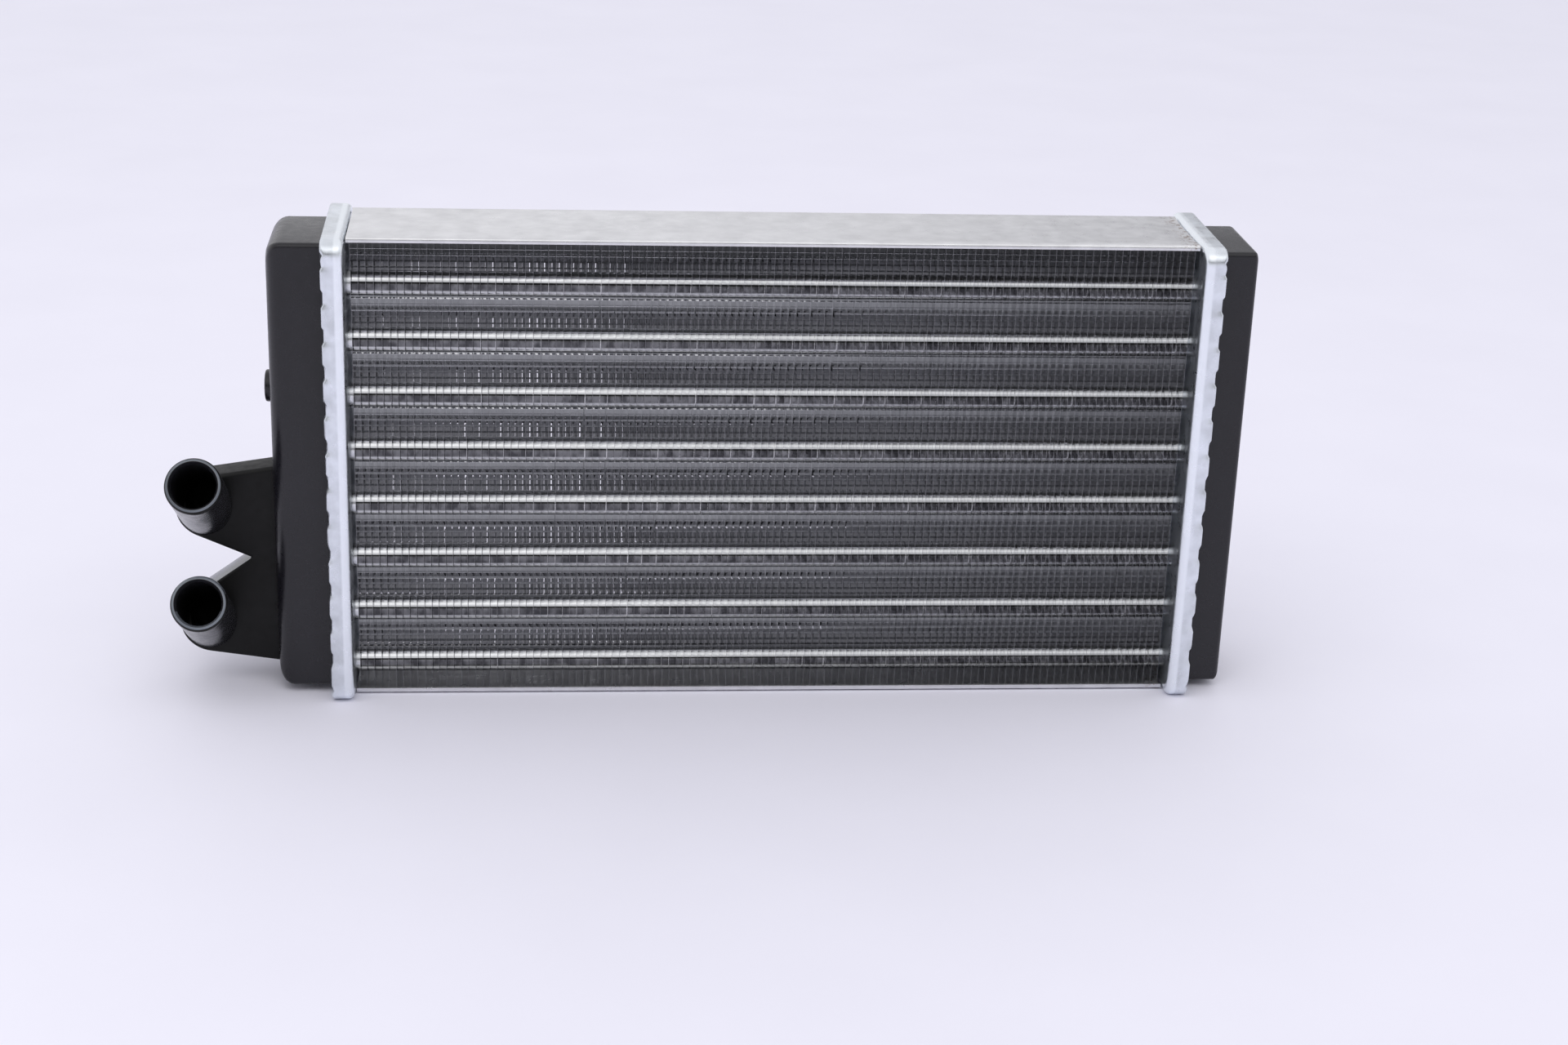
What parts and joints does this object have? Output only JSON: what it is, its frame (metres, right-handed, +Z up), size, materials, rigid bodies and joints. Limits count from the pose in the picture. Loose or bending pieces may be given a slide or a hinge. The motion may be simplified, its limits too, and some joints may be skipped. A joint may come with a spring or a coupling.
{
  "type": "car heater core radiator",
  "caption": "Car cabin heater core: a finned round-tube aluminium matrix between crimped headers and black plastic tanks, with hose stubs angled up from one tank.",
  "frame": {"origin": "middle of the footprint of the bounding box, on the surface that the two headers stand on", "axes": "+X along the tubes towards the plain return tank, +Y away from the side that the hose stubs point to, +Z up"},
  "size_m": [0.3082, 0.058, 0.138],
  "materials": {
    "tank_plastic": "satin moulded glass-filled nylon",
    "header_aluminium": "bright rolled sheet, slightly scuffed",
    "side_plate_aluminium": "bright rolled sheet, slightly scuffed",
    "tube_aluminium": "bright drawn tube",
    "fin_aluminium": "thin bright foil",
    "gasket_rubber": "matt EPDM",
    "turbulator_plastic": "natural nylon"
  },
  "bodies": {
    "root": {"left_tank": "tank_plastic", "right_tank": "tank_plastic", "left_header": "header_aluminium", "right_header": "header_aluminium", "left_gasket": "gasket_rubber", "right_gasket": "gasket_rubber", "top_side_plate": "side_plate_aluminium", "bottom_side_plate": "side_plate_aluminium", "tube_front_1": "tube_aluminium", "tube_front_2": "tube_aluminium", "tube_front_3": "tube_aluminium", "tube_front_4": "tube_aluminium", "tube_front_5": "tube_aluminium", "tube_front_6": "tube_aluminium", "tube_front_7": "tube_aluminium", "tube_front_8": "tube_aluminium", "tube_back_1": "tube_aluminium", "tube_back_2": "tube_aluminium", "tube_back_3": "tube_aluminium", "tube_back_4": "tube_aluminium", "tube_back_5": "tube_aluminium", "tube_back_6": "tube_aluminium", "tube_back_7": "tube_aluminium", "tube_back_8": "tube_aluminium", "turbulator_front_1": "turbulator_plastic", "turbulator_front_2": "turbulator_plastic", "turbulator_front_3": "turbulator_plastic", "turbulator_front_4": "turbulator_plastic", "turbulator_front_5": "turbulator_plastic", "turbulator_front_6": "turbulator_plastic", "turbulator_front_7": "turbulator_plastic", "turbulator_front_8": "turbulator_plastic", "turbulator_back_1": "turbulator_plastic", "turbulator_back_2": "turbulator_plastic", "turbulator_back_3": "turbulator_plastic", "turbulator_back_4": "turbulator_plastic", "turbulator_back_5": "turbulator_plastic", "turbulator_back_6": "turbulator_plastic", "turbulator_back_7": "turbulator_plastic", "turbulator_back_8": "turbulator_plastic", "fin_01": "fin_aluminium", "fin_02": "fin_aluminium", "fin_03": "fin_aluminium", "fin_04": "fin_aluminium", "fin_05": "fin_aluminium", "fin_06": "fin_aluminium", "fin_07": "fin_aluminium", "fin_08": "fin_aluminium", "fin_09": "fin_aluminium", "fin_10": "fin_aluminium", "fin_11": "fin_aluminium", "fin_12": "fin_aluminium", "fin_13": "fin_aluminium", "fin_14": "fin_aluminium", "fin_15": "fin_aluminium"}
  },
  "joints": []
}
